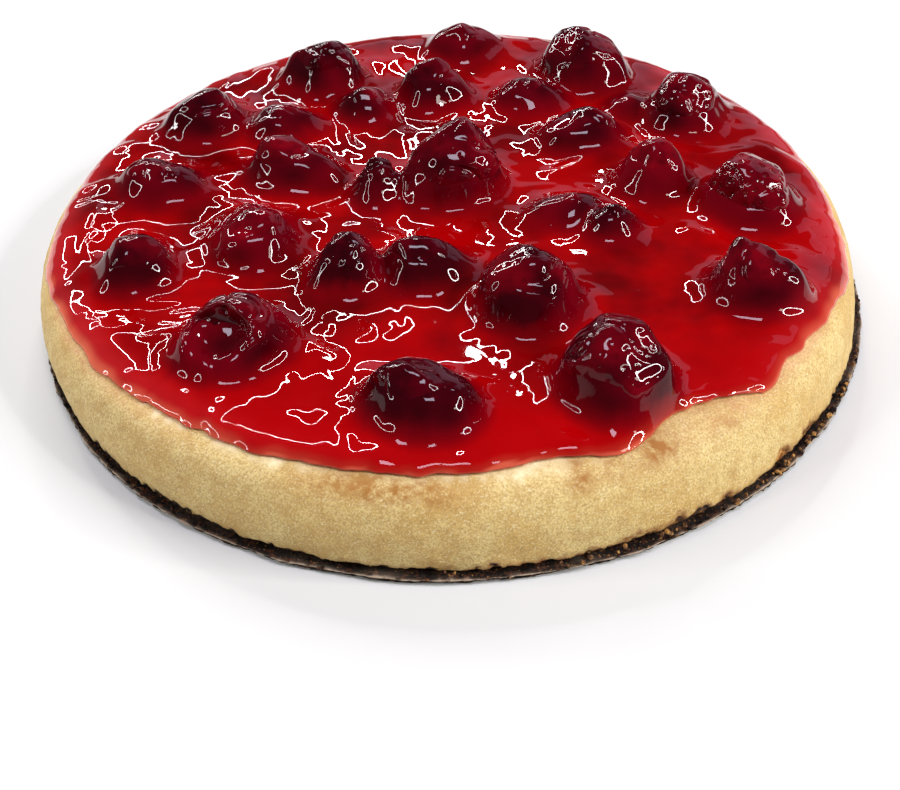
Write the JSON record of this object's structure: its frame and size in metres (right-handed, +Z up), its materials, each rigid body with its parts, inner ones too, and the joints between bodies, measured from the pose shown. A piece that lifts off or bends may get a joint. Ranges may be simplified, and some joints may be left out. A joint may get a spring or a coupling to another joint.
{
  "type": "strawberry cheesecake",
  "caption": "Whole round cheesecake on a thin dark crumb base, topped with wet strawberry glaze and large whole strawberries.",
  "frame": {"origin": "middle of the bounding box's bottom, on the surface the cake stands on", "axes": "+Z up through the cake's middle; -Y is the side nearest the viewer; +X is to the viewer's right"},
  "size_m": [0.2302, 0.2298, 0.0465],
  "materials": {
    "crumb": "dark crumbly baked base",
    "filling": "pale baked cheese filling, fine-grained",
    "glaze": "wet red strawberry glaze",
    "berry": "dark red cooked strawberry coated with glaze"
  },
  "bodies": {
    "root": {"crust": "crumb", "filling": "filling", "glaze": "glaze", "berry_01": "berry", "berry_02": "berry", "berry_03": "berry", "berry_04": "berry", "berry_05": "berry", "berry_06": "berry", "berry_07": "berry", "berry_08": "berry", "berry_09": "berry", "berry_10": "berry", "berry_11": "berry", "berry_12": "berry", "berry_13": "berry", "berry_14": "berry", "berry_15": "berry", "berry_16": "berry", "berry_17": "berry", "berry_18": "berry", "berry_19": "berry", "berry_20": "berry", "berry_21": "berry", "berry_22": "berry", "berry_23": "berry", "berry_24": "berry", "berry_25": "berry", "berry_26": "berry", "berry_27": "berry", "berry_28": "berry"}
  },
  "joints": []
}
